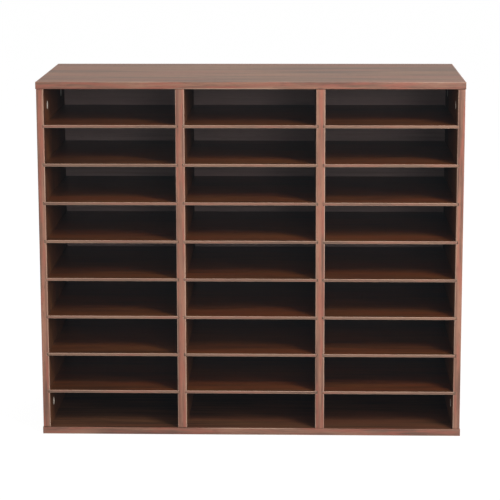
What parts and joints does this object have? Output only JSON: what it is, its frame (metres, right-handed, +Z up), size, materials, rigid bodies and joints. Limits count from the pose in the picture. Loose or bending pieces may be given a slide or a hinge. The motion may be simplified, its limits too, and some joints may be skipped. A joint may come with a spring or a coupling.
{
  "type": "pigeonhole mail sorter",
  "caption": "Open-fronted case of walnut-grain board with columns of flat pigeonholes between loose shelves, for sorting mail and forms.",
  "frame": {"origin": "middle of the underside", "axes": "+Z up, the open front faces -Y, +X to the right of someone facing the front"},
  "size_m": [0.7494, 0.305, 0.6369],
  "materials": {
    "laminated_board": "satin walnut-grain laminate on particle board",
    "shelf_board": "satin walnut-grain laminate on thin fibreboard",
    "back_board": "matt printed hardboard",
    "edge_banding": "satin walnut-grain edge banding",
    "die_cast_zinc": "plain die cast",
    "plated_steel": "zinc plated",
    "dowel_beech": "raw turned beech"
  },
  "bodies": {
    "case": {"top_panel": "laminated_board", "bottom_panel": "laminated_board", "side_panel_left": "laminated_board", "side_panel_right": "laminated_board", "divider_left": "laminated_board", "divider_right": "laminated_board", "back_panel": "back_board", "top_front_edging": "edge_banding", "top_left_edging": "edge_banding", "top_right_edging": "edge_banding", "bottom_front_edging": "edge_banding", "bottom_left_edging": "edge_banding", "bottom_right_edging": "edge_banding", "side_left_edging": "edge_banding", "side_right_edging": "edge_banding", "divider_left_edging": "edge_banding", "divider_right_edging": "edge_banding", "side_cam_locks": "die_cast_zinc", "divider_cam_locks": "die_cast_zinc", "connecting_bolts": "plated_steel", "wooden_dowels": "dowel_beech", "back_panel_screws": "plated_steel"},
    "shelf_left_1": {"shelf_left_1": "shelf_board"},
    "shelf_left_2": {"shelf_left_2": "shelf_board"},
    "shelf_left_3": {"shelf_left_3": "shelf_board"},
    "shelf_left_4": {"shelf_left_4": "shelf_board"},
    "shelf_left_5": {"shelf_left_5": "shelf_board"},
    "shelf_left_6": {"shelf_left_6": "shelf_board"},
    "shelf_left_7": {"shelf_left_7": "shelf_board"},
    "shelf_left_8": {"shelf_left_8": "shelf_board"},
    "shelf_middle_1": {"shelf_middle_1": "shelf_board"},
    "shelf_middle_2": {"shelf_middle_2": "shelf_board"},
    "shelf_middle_3": {"shelf_middle_3": "shelf_board"},
    "shelf_middle_4": {"shelf_middle_4": "shelf_board"},
    "shelf_middle_5": {"shelf_middle_5": "shelf_board"},
    "shelf_middle_6": {"shelf_middle_6": "shelf_board"},
    "shelf_middle_7": {"shelf_middle_7": "shelf_board"},
    "shelf_middle_8": {"shelf_middle_8": "shelf_board"},
    "shelf_right_1": {"shelf_right_1": "shelf_board"},
    "shelf_right_2": {"shelf_right_2": "shelf_board"},
    "shelf_right_3": {"shelf_right_3": "shelf_board"},
    "shelf_right_4": {"shelf_right_4": "shelf_board"},
    "shelf_right_5": {"shelf_right_5": "shelf_board"},
    "shelf_right_6": {"shelf_right_6": "shelf_board"},
    "shelf_right_7": {"shelf_right_7": "shelf_board"},
    "shelf_right_8": {"shelf_right_8": "shelf_board"}
  },
  "joints": [
    {"name": "shelf_left_1_slide", "type": "slide", "parent": "case", "child": "shelf_left_1", "axis": [0, -1, 0], "range_m": [0, 0.3]},
    {"name": "shelf_left_2_slide", "type": "slide", "parent": "case", "child": "shelf_left_2", "axis": [0, -1, 0], "range_m": [0, 0.3]},
    {"name": "shelf_left_3_slide", "type": "slide", "parent": "case", "child": "shelf_left_3", "axis": [0, -1, 0], "range_m": [0, 0.3]},
    {"name": "shelf_left_4_slide", "type": "slide", "parent": "case", "child": "shelf_left_4", "axis": [0, -1, 0], "range_m": [0, 0.3]},
    {"name": "shelf_left_5_slide", "type": "slide", "parent": "case", "child": "shelf_left_5", "axis": [0, -1, 0], "range_m": [0, 0.3]},
    {"name": "shelf_left_6_slide", "type": "slide", "parent": "case", "child": "shelf_left_6", "axis": [0, -1, 0], "range_m": [0, 0.3]},
    {"name": "shelf_left_7_slide", "type": "slide", "parent": "case", "child": "shelf_left_7", "axis": [0, -1, 0], "range_m": [0, 0.3]},
    {"name": "shelf_left_8_slide", "type": "slide", "parent": "case", "child": "shelf_left_8", "axis": [0, -1, 0], "range_m": [0, 0.3]},
    {"name": "shelf_middle_1_slide", "type": "slide", "parent": "case", "child": "shelf_middle_1", "axis": [0, -1, 0], "range_m": [0, 0.3]},
    {"name": "shelf_middle_2_slide", "type": "slide", "parent": "case", "child": "shelf_middle_2", "axis": [0, -1, 0], "range_m": [0, 0.3]},
    {"name": "shelf_middle_3_slide", "type": "slide", "parent": "case", "child": "shelf_middle_3", "axis": [0, -1, 0], "range_m": [0, 0.3]},
    {"name": "shelf_middle_4_slide", "type": "slide", "parent": "case", "child": "shelf_middle_4", "axis": [0, -1, 0], "range_m": [0, 0.3]},
    {"name": "shelf_middle_5_slide", "type": "slide", "parent": "case", "child": "shelf_middle_5", "axis": [0, -1, 0], "range_m": [0, 0.3]},
    {"name": "shelf_middle_6_slide", "type": "slide", "parent": "case", "child": "shelf_middle_6", "axis": [0, -1, 0], "range_m": [0, 0.3]},
    {"name": "shelf_middle_7_slide", "type": "slide", "parent": "case", "child": "shelf_middle_7", "axis": [0, -1, 0], "range_m": [0, 0.3]},
    {"name": "shelf_middle_8_slide", "type": "slide", "parent": "case", "child": "shelf_middle_8", "axis": [0, -1, 0], "range_m": [0, 0.3]},
    {"name": "shelf_right_1_slide", "type": "slide", "parent": "case", "child": "shelf_right_1", "axis": [0, -1, 0], "range_m": [0, 0.3]},
    {"name": "shelf_right_2_slide", "type": "slide", "parent": "case", "child": "shelf_right_2", "axis": [0, -1, 0], "range_m": [0, 0.3]},
    {"name": "shelf_right_3_slide", "type": "slide", "parent": "case", "child": "shelf_right_3", "axis": [0, -1, 0], "range_m": [0, 0.3]},
    {"name": "shelf_right_4_slide", "type": "slide", "parent": "case", "child": "shelf_right_4", "axis": [0, -1, 0], "range_m": [0, 0.3]},
    {"name": "shelf_right_5_slide", "type": "slide", "parent": "case", "child": "shelf_right_5", "axis": [0, -1, 0], "range_m": [0, 0.3]},
    {"name": "shelf_right_6_slide", "type": "slide", "parent": "case", "child": "shelf_right_6", "axis": [0, -1, 0], "range_m": [0, 0.3]},
    {"name": "shelf_right_7_slide", "type": "slide", "parent": "case", "child": "shelf_right_7", "axis": [0, -1, 0], "range_m": [0, 0.3]},
    {"name": "shelf_right_8_slide", "type": "slide", "parent": "case", "child": "shelf_right_8", "axis": [0, -1, 0], "range_m": [0, 0.3]}
  ]
}
